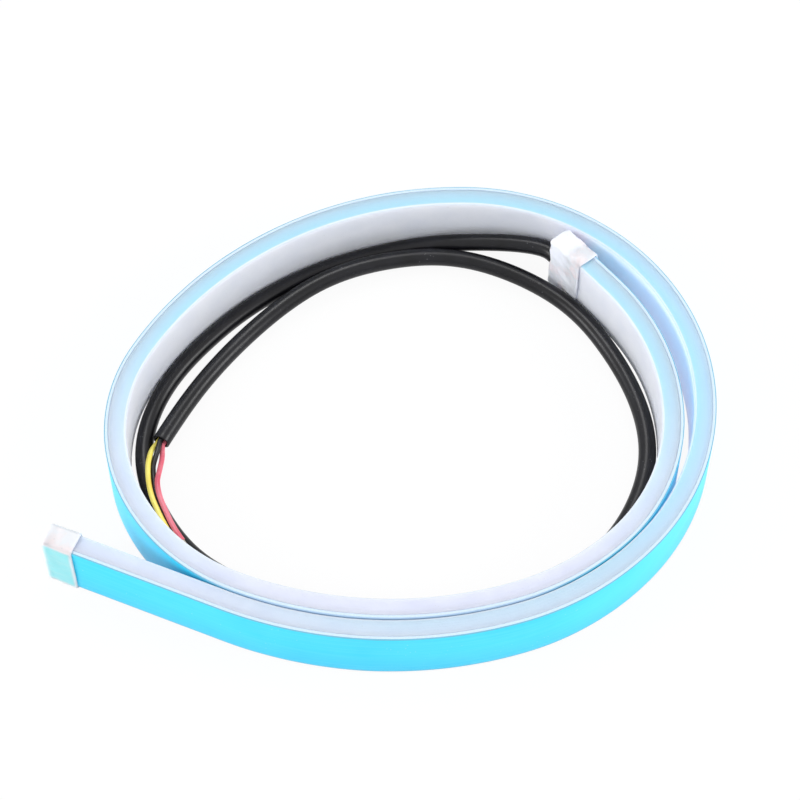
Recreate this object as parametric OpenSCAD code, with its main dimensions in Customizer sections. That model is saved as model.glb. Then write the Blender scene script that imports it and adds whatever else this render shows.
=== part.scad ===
// Flexible daytime running light: a soft silicone light strip with a tape back,
// two slip-on end caps and a three-core lead, lying coiled on its long edge.
// Plan axes are X and Y, the strip stands upright along Z.

/* [Strip section] */
// Height of the soft tube, its wide face standing upright
tube_h = 16; // [15.8:0.1:18]
// Thickness of the soft tube without tape
tube_t = 4; // [3.9:0.05:4.4]
// Rounding of the four long edges of the tube
tube_edge_r = 0.6; // [0.3:0.05:0.8]
// Wall behind the circuit board
back_wall = 0.8; // [0.6:0.05:0.9]
// Thickness of the milky wall that the light shines through
front_wall = 1.6; // [1.4:0.05:1.7]
// Height of the hollow channel
channel_h = 11.4; // [11:0.1:12.5]

/* [Tape back] */
// Thickness of the foam tape
tape_t = 0.6; // [0.4:0.05:0.8]
// Distance that the foam tape stands back from the tube's long edges
tape_back = 0.5; // [0.4:0.05:2]
// Thickness of the coloured release film
film_t = 0.2; // [0.1:0.02:0.3]
// Distance that the release film stands back from the tube's long edges
film_back = 0.3; // [0.2:0.05:2]

/* [Lay of the strip] */
// Length of the straight stretch at the free end, with the part in its cap
free_end_len = 41; // [36:0.5:48]
// Radius of the long bend in front
front_bend_r = 93.5; // [88:0.5:100]
// Direction of the strip where the long bend in front ends, in degrees from X
front_bend_end = 17; // [14:0.5:19]
// Radius of the bend between front and right
corner_bend_r = 63; // [58:0.5:68]
// Turn of the bend between front and right, in degrees
corner_bend_turn = 30.5; // [29:0.5:33]
// Radius of the bend round the right side
right_bend_r = 53; // [50:0.5:58]
// Turn of the bend round the right side, in degrees
right_bend_turn = 131; // [126:0.5:135]
// Radius of the bend along the back
back_bend_r = 82; // [76:0.5:88]
// Turn of the bend along the back, in degrees
back_bend_turn = 62; // [58:0.5:66]
// Clear gap between the two turns where they lie side by side
turn_gap = 0.2; // [0.1:0.05:0.6]
// Turn over which the inner run stays beside the corner bend, in degrees
follow_turn = 26; // [20:0.5:28]
// Place where the lead end's stretch begins, in degrees along the right side's bend
lead_end_turn = 83; // [78:0.5:86]
// Distance of that place in from the middle of the outer turn
lead_end_inset = 9; // [8.8:0.1:12]
// Length of the nearly straight stretch at the lead end, with the part in its cap
lead_end_len = 12; // [11:0.5:14]
// Radius of the slight bow in that stretch
lead_end_r = 2000; // [1000:100:3000]

/* [End caps] */
// Wall of both caps round the strip
cap_wall = 0.45; // [0.4:0.05:0.8]
// Rounding of the caps' edges
cap_edge_r = 0.9; // [0.5:0.1:1.3]
// Length of the cap on the free end
blind_cap_len = 8; // [7:0.5:12]
// Depth that the free end reaches into its cap
blind_grip = 6.5; // [5:0.5:6.5]
// Length of the cap on the lead end
lead_cap_len = 10; // [9:0.5:14]
// Depth that the lead end reaches into its cap
lead_grip = 4; // [3:0.5:5]
// Thickness of the lead cap's end wall
lead_cap_end_t = 2.5; // [1.5:0.25:3]

/* [Board and lamps] */
// Height of the flexible circuit board
board_h = 11; // [9.6:0.1:11.2]
// Thickness of the circuit board
board_t = 0.3; // [0.2:0.05:0.4]
// Spacing from one white lamp chip to the next
chip_pitch = 12; // [10:0.5:20]
// Length of a lamp chip along the strip
chip_len = 3.5; // [2.8:0.1:3.8]
// Height of a lamp chip
chip_h = 2.8; // [2.4:0.1:3]
// Thickness of a lamp chip
chip_t = 0.7; // [0.5:0.05:0.8]
// White chips to each resistor
chips_per_resistor = 3; // [2:1:6]
// White chips to each driver chip
chips_per_driver = 8; // [6:1:12]

/* [Lead] */
// Outside diameter of the jacketed cable
cable_d = 4; // [3.7:0.1:4.1]
// Height of the cable's way out of its cap
cable_exit_z = 7; // [6.5:0.25:9]
// Diameter of each insulated wire
wire_d = 1.2; // [1:0.05:1.25]
// Length of bare tinned conductor at each wire's end
tip_len = 4; // [2:0.5:6]
// Diameter of the bare conductor
tip_d = 0.8; // [0.5:0.05:0.9]

/* [Hidden] */

// Sideways sizes count from the middle of the whole strip, outward positive
strip_t = tube_t + tape_t + film_t;
tube_out = strip_t / 2 - tape_t - film_t;
tube_in = -strip_t / 2;
channel_out = tube_out - back_wall;
channel_in = tube_in + front_wall;
slip = 0.05;            // clearance of parts that slide together
cap_t = strip_t + 2 * (slip + cap_wall);
cap_h = tube_h + 2 * (slip + cap_wall);
tube_z = cap_wall + slip;
mid_z = tube_z + tube_h / 2;
tape_h = tube_h - 2 * tape_back;
film_h = tube_h - 2 * film_back;
film_pressed = 0.05;
board_out = channel_out - slip;
board_in = board_out - board_t;
chip_seat = 0.08;       // solder under the chips

// Runs of the strip as [radius, degrees] of left-hand arcs, all to whole
// thousandths, so that neighbours meet without a step, or as [0, length] if straight
front_x = -33.85;
front_y = -48.26;
front_heading = -22.333;
front_start = [front_x, front_y, front_heading];
front_bend_turn = whole(front_bend_end - front_start.z);
pitch = strip_t + turn_gap;
free_end = [0, free_end_len];
outer_bends = [
    [front_bend_r, front_bend_turn],
    [corner_bend_r, corner_bend_turn],
    [right_bend_r, right_bend_turn],
    [back_bend_r, back_bend_turn]
];
inner_bends = [
    [front_bend_r - pitch, front_bend_turn],
    [corner_bend_r - pitch, follow_turn]
];

function whole(x) = round(x * 1000) / 1000;
function arc_turn(len, r) = whole(len / r * 180 / PI);

// A state is [x, y, heading]
function ahead(st, len) = [st.x + len * cos(st.z), st.y + len * sin(st.z), st.z];
function inward(st, dist) = [st.x - dist * sin(st.z), st.y + dist * cos(st.z), st.z];
function turned(st, angle) = [st.x, st.y, st.z + angle];
function bent(st, r, turn) = inward(turned(inward(st, r), turn), -r);
function after(st, run) = run[0] == 0 ? ahead(st, run[1]) : bent(st, run[0], run[1]);
function after_all(st, runs, i = 0) =
    i == len(runs) ? st : after_all(after(st, runs[i]), runs, i + 1);
function run_len(run) = run[0] == 0 ? run[1] : run[0] * run[1] * PI / 180;

// Two arcs that join state a to state b, both leaving equal tangent lengths
function unit(heading) = [cos(heading), sin(heading)];
function joint_reach(v, ta, tb) =
    let (k = v * (ta + tb), c = 2 * (1 - ta * tb)) (-k + sqrt(k * k + c * v * v)) / c;
function joint_mid(a, b, ta, tb, d) = ([a.x, a.y] + d * ta + [b.x, b.y] - d * tb) / 2;
function wrap(angle) = angle - 360 * floor((angle + 180) / 360);
function arc_to(st, p) =
    let (w = p - [st.x, st.y], turn = 2 * wrap(atan2(w.y, w.x) - st.z))
    [whole(norm(w) / (2 * sin(turn / 2))), whole(turn)];
function joining(a, b) =
    let (
        ta = unit(a.z),
        tb = unit(b.z),
        d = joint_reach([b.x - a.x, b.y - a.y], ta, tb),
        mid = joint_mid(a, b, ta, tb, d),
        first = arc_to(a, mid)
    )
    [first, arc_to(after(a, first), [b.x, b.y])];

tube_start = ahead(front_start, -free_end_len);
outer_end = after_all(front_start, outer_bends);
inner_start = inward(front_start, pitch);
inner_end = after_all(inner_start, inner_bends);
right_start = after_all(front_start, [outer_bends[0], outer_bends[1]]);
lead_end_start = inward(bent(right_start, right_bend_r, lead_end_turn), lead_end_inset);
lead_end = [lead_end_r, arc_turn(lead_end_len, lead_end_r)];

runs = concat(
    [free_end],
    outer_bends,
    joining(outer_end, inner_start),
    inner_bends,
    joining(inner_end, lead_end_start),
    [lead_end]
);
run_states = [
    for (i = 0, st = tube_start; i < len(runs); st = after(st, runs[i]), i = i + 1) st
];
run_starts = [
    for (i = 0, s = 0; i < len(runs); s = s + run_len(runs[i]), i = i + 1) s
];
tube_len = run_starts[len(runs) - 1] + run_len(runs[len(runs) - 1]);

function part_run(run, len) = [run[0], run[0] == 0 ? len : arc_turn(len, run[0])];
function run_at(s, i = 0) =
    i + 1 < len(runs) && run_starts[i + 1] <= s ? run_at(s, i + 1) : i;
function state_at(s) =
    let (i = run_at(s)) after(run_states[i], part_run(runs[i], s - run_starts[i]));

// Lengths along the strip, from the tube's end in the free cap
plug_len = 4;
pressed_len = blind_grip + 0.5;
board_end_gap = 0.5;
board_from = plug_len + board_end_gap;
lead_mouth_s = tube_len - lead_grip;
lead_mouth = state_at(lead_mouth_s);
lead_plug_len = 5;
pad_back = 3.5;         // board's end, back from the lead cap's mouth
board_to = lead_mouth_s - pad_back;
joint_len = 1.6;
joint_h = 1.1;
joint_back = pad_back + 0.3 + joint_len;
core_pitch = 1.5;
core_seat = 0.02;
core_x = board_in - core_seat - wire_d / 2;
joint_t = wire_d - 0.1;
first_chip = 8;
last_chip_back = 12;
chip_from = board_from + first_chip;
chip_to = board_to - last_chip_back;
resistor_z = 3.7;
resistor_size = [0.5, 2, 1.25];
driver_size = [0.9, 3, 1.7];
driver_z = -3.7;

// Lead cap's chamber and the sleeve round the cores
sleeve_wall = 0.55;
sleeve_d = cable_d - 0.2;
sleeve_len = lead_cap_end_t;
bundle_r = (sleeve_d / 2 - sleeve_wall - wire_d / 2) * 0.97;
bundle_angle = [210, -30, 90];
// Where the cores stand halfway from the board's row to the sleeve's bundle
core_halfway = [[-0.45, -0.85], [0.75, 0.1], [-0.1, 1.3]];
chamber_t = 3.4;
chamber_h = 6;

// The cable's route over the floor: points guide a smooth curve from its cap's face
floor_z = cable_d / 2;
lead_face = ahead(lead_mouth, lead_cap_len);
function cable_out(len) = let (st = ahead(lead_face, len)) [st.x, st.y, cable_exit_z];
cable_route = [
    cable_out(0.5),
    cable_out(3.5),
    [30, 49, 6.25],
    [22, 50, 5],
    [15, 50.5, 4],
    [6, 50.5, 2.5],
    [-13.5, 45.5, 2.25],
    [-30, 35.5, floor_z],
    [-40, 26, floor_z],
    [-51, 12.5, floor_z],
    [-56, -6.5, floor_z],
    [-47.5, -25.5, floor_z],
    [-36, -36.25, floor_z],
    [-18, -42, floor_z],
    [2.5, -45.25, floor_z],
    [20.5, -44, floor_z],
    [38, -37.5, floor_z],
    [51.5, -27.5, floor_z],
    [60, -9, floor_z],
    [58.5, 7.5, floor_z],
    [51.5, 23, floor_z],
    [41.5, 37, 2.5],
    [20, 47.5, 3.75],
    [1.5, 46, 4.5],
    [-16, 40.5, 4.25],
    [-32, 26.5, floor_z],
    [-43, 11.5, 2.75],
    [-50, -2.5, 3.5]
];
cable_path = concat([cable_out(0)], smooth(cable_route, 2));

// The three wires leave the cable's cut end side by side
cut_end = cable_path[len(cable_path) - 1];
cut_way = direction(cable_path, len(cable_path) - 1);
cut_side = sideways(cut_way);
cut_up = cross(cut_side, cut_way);
function from_cut(angle, len) =
    cut_end + len * cut_way + bundle_r * (cos(angle) * cut_side + sin(angle) * cut_up);
yellow_route = [
    from_cut(-30, 0.5),
    [-52, -4.75, 3.75], [-52.25, -7, 5], [-52.5, -8.75, 5.25],
    [-52.5, -11, 5.25], [-52.25, -13.25, 5.5], [-51.75, -16, 5.75],
    [-51, -18.5, 5.75], [-50, -20.75, 5.75], [-49, -23, 5.75],
    [-47.75, -25.25, 5.75], [-46.75, -27.5, 5.75], [-45.5, -29.5, 5.75]
];
yellow_path = concat([from_cut(-30, 0)], smooth(yellow_route, 1));
black_route = [
    from_cut(90, 0.5),
    [-50.5, -4.75, 4.5], [-51, -7, 4.25], [-51.5, -9.25, 4.5],
    [-51.25, -11.5, 4.75], [-51, -13.5, 4.75], [-50.75, -15.75, 4.75],
    [-50, -17.75, 4.75], [-49.25, -20, 4.75], [-48.25, -22.25, 4.75],
    [-47, -24.5, 4.75], [-46, -26.75, 4.75], [-44.75, -29, 4.75]
];
black_path = concat([from_cut(90, 0)], smooth(black_route, 1));
red_route = [
    from_cut(210, 0.5),
    [-49.75, -4.25, 3], [-49.5, -6.75, 3.75], [-49.75, -9.5, 4.75],
    [-50, -12, 5.5], [-50.25, -13.75, 6], [-50, -15.75, 6],
    [-49.5, -17.75, 6], [-48.75, -19.75, 6], [-47.75, -22, 6],
    [-46.75, -24.25, 6], [-45.5, -26.5, 6], [-44, -28.75, 6]
];
red_path = concat([from_cut(210, 0)], smooth(red_route, 1));
tube_sides = 8;

// Colours
milky = [0.90, 0.92, 0.97];
cap_white = [0.94, 0.96, 0.99];
film_blue = [0.36, 0.88, 0.98];
tape_white = [0.93, 0.94, 0.95];
board_green = [0.93, 0.94, 0.90];
jacket_black = [0.12, 0.12, 0.13];
wire_yellow_colour = [0.96, 0.88, 0.35];
wire_black_colour = [0.10, 0.10, 0.11];
wire_red_colour = [0.86, 0.36, 0.42];
tinned = [0.78, 0.76, 0.70];

$fn = 64;
arc_fn = 360;

// Places children with X pointing outward, Y along the strip and Z up
module at_state(st) {
    translate([st.x, st.y, 0]) rotate(st.z - 90) children();
}

module at_length(s) {
    at_state(state_at(s)) children();
}

// A long and a short move together keep more decimals than one move does
module moved(v) {
    long = [for (a = v) round(a * 100) / 100];
    translate(long) translate(v - long) children();
}

// Carries a section drawn as [outward, up] from a state, straight on or round an arc
module carry(st, run) {
    if (run[0] == 0) {
        end = ahead(st, run[1]);
        moved([end.x, end.y]) rotate(st.z - 90) rotate([90, 0, 0]) linear_extrude(run[1]) children();
    } else {
        centre = inward(st, run[0]);
        moved([centre.x, centre.y]) rotate_extrude(angle = run[1], start = st.z - 90, $fn = arc_fn)
            translate([run[0], 0]) children();
    }
}

// Carries a section along the strip between two lengths
module along_strip(from, to) {
    for (i = [0 : len(runs) - 1]) {
        a = part_run(runs[i], max(from - run_starts[i], 0));
        b = part_run(runs[i], min(to - run_starts[i], run_len(runs[i])));
        if (b[1] > a[1]) carry(after(run_states[i], a), [a[0], b[1] - a[1]]) children();
    }
}

module rounded_section(x0, x1, z0, z1, r) {
    translate([x0 + r, z0]) square([x1 - x0 - 2 * r, z1 - z0]);
    translate([x0, z0 + r]) square([x1 - x0, z1 - z0 - 2 * r]);
    for (x = [x0 + r, x1 - r], z = [z0 + r, z1 - r]) translate([x, z]) circle(r);
}

module upright_band(x0, x1, h) {
    translate([x0, mid_z - h / 2]) square([x1 - x0, h]);
}

module light_tube() {
    color(milky) along_strip(0, tube_len) difference() {
        rounded_section(tube_in, tube_out, tube_z, tube_z + tube_h, tube_edge_r);
        upright_band(channel_in, channel_out, channel_h);
    }
}

module foam_tape() {
    color(tape_white) along_strip(0, tube_len) upright_band(tube_out, tube_out + tape_t, tape_h);
}

// The film lies pressed a little thinner where the free end's cap grips it
module release_film() {
    color(film_blue) difference() {
        along_strip(0, tube_len) upright_band(tube_out + tape_t, tube_out + tape_t + film_t, film_h);
        at_state(tube_start) translate([strip_t / 2 - film_pressed, -1, 0])
            cube([1, pressed_len + 1, cap_h]);
    }
}

module circuit_board() {
    color(board_green) along_strip(board_from, board_to)
        upright_band(board_in, board_out, board_h);
}

// A small block soldered to the board, its seat square to the strip
module on_board(s, size, z = 0) {
    at_length(s) translate([board_in - chip_seat - size.x, -size.y / 2, mid_z + z - size.z / 2])
        cube(size);
}

chip_size = [chip_t, chip_len, chip_h];

module white_leds() {
    color([1, 0.95, 0.75])
        for (s = [chip_from : chip_pitch : chip_to]) on_board(s, chip_size);
}

module amber_leds() {
    color([1, 0.65, 0.2])
        for (s = [chip_from + chip_pitch / 2 : chip_pitch : chip_to]) on_board(s, chip_size);
}

module resistors() {
    color([0.15, 0.15, 0.17])
        for (s = [chip_from : chip_pitch * chips_per_resistor : chip_to])
            on_board(s, resistor_size, resistor_z);
}

module driver_chips() {
    color([0.1, 0.1, 0.11])
        for (s = [chip_from + chip_pitch : chip_pitch * chips_per_driver : chip_to])
            on_board(s, driver_size, driver_z);
}

// Blunt block with all its edges rounded, made of three crossed prisms
module soft_block(t, len, h, r) {
    intersection() {
        translate([0, len, 0]) rotate([90, 0, 0]) linear_extrude(len)
            rounded_section(-t / 2, t / 2, 0, h, r);
        linear_extrude(h) rounded_section(-t / 2, t / 2, 0, len, r);
        translate([-t / 2, 0, 0]) rotate([90, 0, 90]) linear_extrude(t)
            rounded_section(0, len, 0, h, r);
    }
}

// Pocket that takes the strip's end, open towards the strip
module cap_pocket(depth) {
    translate([-strip_t / 2 - slip, -1, tube_z - slip])
        cube([strip_t + 2 * slip, depth + slip + 1, tube_h + 2 * slip]);
}

blind_mouth = turned(state_at(blind_grip), 180);

module blind_end_cap() {
    color(cap_white) at_state(blind_mouth) difference() {
        soft_block(cap_t, blind_cap_len, cap_h, cap_edge_r);
        cap_pocket(blind_grip);
    }
}

module lead_end_cap() {
    color(cap_white) at_state(lead_mouth) difference() {
        soft_block(cap_t, lead_cap_len, cap_h, cap_edge_r);
        cap_pocket(lead_grip);
        translate([-chamber_t / 2, 0, cable_exit_z - chamber_h / 2])
            cube([chamber_t, lead_cap_len - lead_cap_end_t, chamber_h]);
        translate([0, 0, cable_exit_z]) rotate([-90, 0, 0])
            cylinder(h = lead_cap_len + 1, d = sleeve_d + 2 * slip);
    }
}

// Silicone that fills the channel's mouth
module plug_section() {
    upright_band(channel_in + slip, channel_out - slip, channel_h - 2 * slip);
}

module blind_sealant() {
    color([0.97, 0.97, 0.98]) along_strip(0, plug_len) plug_section();
}

module lead_sealant() {
    color([0.97, 0.97, 0.98]) difference() {
        at_state(lead_mouth) translate([0, lead_grip, 0]) rotate([90, 0, 0])
            linear_extrude(lead_plug_len) plug_section();
        at_state(lead_mouth) for (k = [-1, 0, 1])
            translate([core_x, lead_grip - lead_plug_len - 1, cable_exit_z + k * core_pitch])
                rotate([-90, 0, 0]) cylinder(h = lead_plug_len + 2, d = wire_d + 2 * slip);
    }
}

module lead_sleeve() {
    color(jacket_black) at_state(lead_mouth)
        translate([0, lead_cap_len - sleeve_len, cable_exit_z])
            rotate([-90, 0, 0]) difference() {
                cylinder(h = sleeve_len, d = sleeve_d);
                translate([0, 0, -1]) cylinder(h = sleeve_len + 2, d = sleeve_d - 2 * sleeve_wall);
            }
}

module solder_joints() {
    color(tinned) at_state(lead_mouth) for (k = [-1, 0, 1])
        translate([board_in - core_seat - joint_t, -joint_back, cable_exit_z + k * core_pitch - joint_h / 2])
            cube([joint_t, joint_len, joint_h]);
}

// Ring frames of a tube: points p along it and their directions
function direction(p, i) =
    let (v = p[min(i + 1, len(p) - 1)] - p[max(i - 1, 0)]) v / norm(v);
function sideways(t) = let (v = cross(t, [0, 0, 1])) v / norm(v);
function ring(c, t, r) =
    let (n = sideways(t), b = cross(n, t))
    [for (k = [0 : tube_sides - 1]) c + r * (cos(360 * k / tube_sides) * n + sin(360 * k / tube_sides) * b)];

module swept_tube(p, d) {
    n = tube_sides;
    last = len(p) - 1;
    points = [for (i = [0 : last]) each ring(p[i], direction(p, i), d / 2)];
    sides = [
        for (i = [0 : last - 1], k = [0 : n - 1])
            let (a = i * n + k, b = i * n + (k + 1) % n) each [[a, b, b + n], [a, b + n, a + n]]
    ];
    polyhedron(points, concat([[for (k = [n - 1 : -1 : 0]) k]], sides, [[for (k = [0 : n - 1]) last * n + k]]));
}

// Smooth curve guided by route points, which starts and ends on the outer two
function guides(p) = concat(
    [2 * p[0] - p[1]], p, [2 * p[len(p) - 1] - p[len(p) - 2]]
);
function blend(a, b, c, d, t) =
    (pow(1 - t, 3) * a + (3 * pow(t, 3) - 6 * t * t + 4) * b
        + (-3 * pow(t, 3) + 3 * t * t + 3 * t + 1) * c + pow(t, 3) * d) / 6;
function smooth(p, steps) =
    let (g = guides(p)) concat(
        [
            for (i = [1 : len(g) - 3], k = [0 : steps - 1])
                blend(g[i - 1], g[i], g[i + 1], g[i + 2], k / steps)
        ],
        [p[len(p) - 1]]
    );

// A core's way from its solder joint through the sealant into the sleeve
function at_exit(p, y) = [p[0], y, cable_exit_z + p[1]];
function core_route(k) =
    let (
        pad = [core_x, (k - 1) * core_pitch],
        bundle = bundle_r * [cos(bundle_angle[k]), sin(bundle_angle[k])],
        sleeve_y = lead_cap_len - sleeve_len
    )
    [
        at_exit(pad, joint_len - joint_back),
        at_exit(pad, lead_grip),
        at_exit(core_halfway[k], (lead_grip + sleeve_y) / 2),
        at_exit(bundle, sleeve_y),
        at_exit(bundle, lead_cap_len)
    ];

module core(k) {
    at_state(lead_mouth) swept_tube(core_route(k), wire_d);
}

module core_yellow() { color(wire_yellow_colour) core(2); }
module core_black() { color(wire_black_colour) core(1); }
module core_red() { color(wire_red_colour) core(0); }

module cable_jacket() { color(jacket_black) swept_tube(cable_path, cable_d); }
module wire_yellow() { color(wire_yellow_colour) swept_tube(yellow_path, wire_d); }
module wire_black() { color(wire_black_colour) swept_tube(black_path, wire_d); }
module wire_red() { color(wire_red_colour) swept_tube(red_path, wire_d); }

// Bare conductor that goes on straight from the end of its wire
module bare_tip(path) {
    end = path[len(path) - 1];
    way = direction(path, len(path) - 1);
    color(tinned) translate(end)
        rotate([0, acos(way.z), atan2(way.y, way.x)]) cylinder(h = tip_len, d = tip_d);
}

module tip_yellow() { bare_tip(yellow_path); }
module tip_black() { bare_tip(black_path); }
module tip_red() { bare_tip(red_path); }

light_tube();
circuit_board();
white_leds();
amber_leds();
resistors();
driver_chips();
solder_joints();
foam_tape();
release_film();
blind_end_cap();
lead_end_cap();
blind_sealant();
lead_sealant();
lead_sleeve();
core_yellow();
core_black();
core_red();
cable_jacket();
wire_yellow();
wire_black();
wire_red();
tip_yellow();
tip_black();
tip_red();
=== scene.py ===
import math

import bpy
import numpy as np
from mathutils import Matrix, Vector


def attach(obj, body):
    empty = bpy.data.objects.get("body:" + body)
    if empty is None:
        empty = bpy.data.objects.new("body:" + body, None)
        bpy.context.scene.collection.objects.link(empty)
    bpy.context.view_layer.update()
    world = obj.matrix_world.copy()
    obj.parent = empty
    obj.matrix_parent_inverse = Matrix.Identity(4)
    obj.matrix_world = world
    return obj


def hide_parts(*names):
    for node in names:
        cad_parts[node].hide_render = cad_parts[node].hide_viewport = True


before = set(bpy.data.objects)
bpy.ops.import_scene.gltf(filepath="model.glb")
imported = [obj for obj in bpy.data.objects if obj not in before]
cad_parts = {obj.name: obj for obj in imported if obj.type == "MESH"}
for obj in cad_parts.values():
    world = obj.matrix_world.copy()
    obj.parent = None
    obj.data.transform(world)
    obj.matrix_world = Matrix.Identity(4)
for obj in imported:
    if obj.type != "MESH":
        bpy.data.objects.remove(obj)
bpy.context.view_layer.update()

# Looks of a coiled flexible daytime running light. Sizes are written in millimetres,
# as in the part's source, and reach the meshes in metres.
MM = 0.001

# Camera, at the photograph's viewing angle
AIM = Vector((3.5, 10.0, 0.5)) * MM
DISTANCE = 632 * MM
RISE = math.radians(59.715)


def make_camera():
    """Stands in front of the coil and looks down at it by the angle RISE."""
    lens = bpy.data.cameras.new("studio_camera")
    lens.lens, lens.sensor_width = 125.16, 36.0
    lens.clip_start, lens.clip_end = 0.01, 20
    camera = bpy.data.objects.new("studio_camera", lens)
    away = Vector((0, -math.cos(RISE), math.sin(RISE)))
    camera.location = AIM + DISTANCE * away
    camera.rotation_euler = (-away).to_track_quat("-Z", "Y").to_euler()
    bpy.context.collection.objects.link(camera)
    bpy.context.scene.camera = camera


make_camera()
bpy.context.scene.view_settings.view_transform = "Standard"


# Surfaces
def surface(name, grid, along, around, loop=False, marks=None):
    """Closed skin over points grid[row, column]. The face at (r, c) joins the points (r, c),
    (r, c+1), (r+1, c+1) and (r+1, c), and columns always close into a ring. Rows close too
    where loop is true, and otherwise a fan closes each end on the mean of its ring. Where the
    skin's volume comes out negative, its faces are turned round. The UV map holds along by row
    and around by column, and marks holds one number a point."""
    rows, columns = grid.shape[:2]
    points = grid.reshape(-1, 3)
    r, c = np.meshgrid(np.arange(rows if loop else rows - 1), np.arange(columns), indexing="ij")
    r, c = r.ravel(), c.ravel()
    down, right = (r + 1) % rows, (c + 1) % columns
    row, next_row = r * columns, down * columns
    quads = np.stack([row + c, row + right, next_row + right, next_row + c], 1)
    along = np.append(along, along[-1] + 1 * MM)
    u = np.stack([along[r], along[r], along[r + 1], along[r + 1]], 1)
    v = np.stack([around[c], around[c + 1], around[c + 1], around[c]], 1)
    uv = [np.stack([u.ravel(), v.ravel()], 1)]
    tris = np.empty((0, 3), int)
    if not loop:
        poles = np.array([grid[0].mean(0), grid[-1].mean(0)])
        c = np.arange(columns)
        right = (c + 1) % columns
        first, last = rows * columns, rows * columns + 1
        base = (rows - 1) * columns
        near = np.stack([np.full(columns, first), right, c], 1)
        far = np.stack([np.full(columns, last), base + c, base + right], 1)
        tris = np.concatenate([near, far])
        middle = (around[:-1] + around[1:]) / 2
        near_v = np.stack([middle, around[1:], around[:-1]], 1)
        far_v = np.stack([middle, around[:-1], around[1:]], 1)
        u = np.concatenate([np.full((columns, 3), along[0]), np.full((columns, 3), along[rows - 1])])
        uv.append(np.stack([u.ravel(), np.concatenate([near_v, far_v]).ravel()], 1))
        points = np.concatenate([points, poles])
    halves = np.concatenate([quads[:, [0, 1, 2]], quads[:, [0, 2, 3]], tris])
    a, b, d = points[halves[:, 0]], points[halves[:, 1]], points[halves[:, 2]]
    if np.einsum("ij,ij->i", a, np.cross(b, d)).sum() < 0:
        quads, tris = quads[:, ::-1], tris[:, ::-1]
        uv = [part.reshape(-1, corners, 2)[:, ::-1].reshape(-1, 2) for part, corners in zip(uv, (4, 3))]
    mesh = bpy.data.meshes.new(name)
    mesh.from_pydata((points * MM).tolist(), [], quads.tolist() + tris.tolist())
    mesh.uv_layers.new(name="UVMap").data.foreach_set("uv", np.concatenate(uv).ravel())
    mesh.polygons.foreach_set("use_smooth", np.ones(len(mesh.polygons), bool))
    for label, values in (marks or {}).items():
        values = values.ravel()
        if not loop:
            ends = [values[:columns].mean(), values[-columns:].mean()]
            values = np.concatenate([values, ends])
        mesh.attributes.new(label, "FLOAT", "POINT").data.foreach_set("value", values)
    mesh.validate()
    piece = bpy.data.objects.new(name, mesh)
    bpy.context.collection.objects.link(piece)
    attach(piece, "root")
    return piece


def ring(half_x, half_z, r, corner, across, up):
    """Points [n, 2] of a rectangle with rounded corners, anticlockwise from its right side:
    a quarter circle of radius r about each corner's centre, and even steps between them.
    corner, across and up count the steps of each corner and of the sides."""
    turn = np.linspace(0, math.pi / 2, corner + 1)
    x, z = half_x - r, half_z - r
    places = []
    for k, (cx, cz) in enumerate([(x, z), (-x, z), (-x, -z), (x, -z)]):
        this_turn, next_turn = k * math.pi / 2, (k + 1) * math.pi / 2
        arc = np.stack([cx + r * np.cos(turn + this_turn), cz + r * np.sin(turn + this_turn)], 1)
        nx, nz = [(-x, z), (-x, -z), (x, -z), (x, z)][k]
        steps = across if k % 2 == 0 else up
        start = np.array([nx, nz]) + r * np.array([math.cos(next_turn), math.sin(next_turn)])
        t = np.linspace(0, 1, steps + 1)[1:-1, None]
        places += [arc, arc[-1] + (start - arc[-1]) * t]
    return np.concatenate(places)


def perimeter(section):
    """Running length round a closed section, with the closing step last."""
    steps = np.linalg.norm(np.roll(section, -1, 0) - section, axis=1)
    return np.concatenate([[0], np.cumsum(steps)]) * MM


def slow_wave(s, seed, longest):
    """Sum of five sines of falling wavelength, with phases from a seeded list."""
    phases = np.random.default_rng(seed).uniform(0, 2 * math.pi, 5)
    lengths = longest / np.array([1, 1.7, 2.9, 4.3, 7.1])
    waves = [np.sin(2 * math.pi * s / length + phase) for length, phase in zip(lengths, phases)]
    return sum(wave / (k + 1) for k, wave in enumerate(waves)) / 2.3


# Cable and wires: the guides repeat the part's own routes
CABLE_R, WIRE_R, STRAND_R = 2.0, 0.6, 0.4
CABLE_EXIT = np.array([39.6991, 44.5247, 7.0])
EXIT_WAY = np.array([-0.6525, 0.7578, 0.0])
CABLE_ROUTE = np.array([
    [30, 49, 6.25], [22, 50, 5], [15, 50.5, 4], [6, 50.5, 2.5], [-13.5, 45.5, 2.25],
    [-30, 35.5, 2], [-40, 26, 2], [-51, 12.5, 2], [-56, -6.5, 2], [-47.5, -25.5, 2],
    [-36, -36.25, 2], [-18, -42, 2], [2.5, -45.25, 2], [20.5, -44, 2], [38, -37.5, 2],
    [51.5, -27.5, 2], [60, -9, 2], [58.5, 7.5, 2], [51.5, 23, 2], [41.5, 37, 2.5],
    [20, 47.5, 3.75], [1.5, 46, 4.5], [-16, 40.5, 4.25], [-32, 26.5, 2], [-43, 11.5, 2.75],
    [-50, -2.5, 3.5],
])
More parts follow.
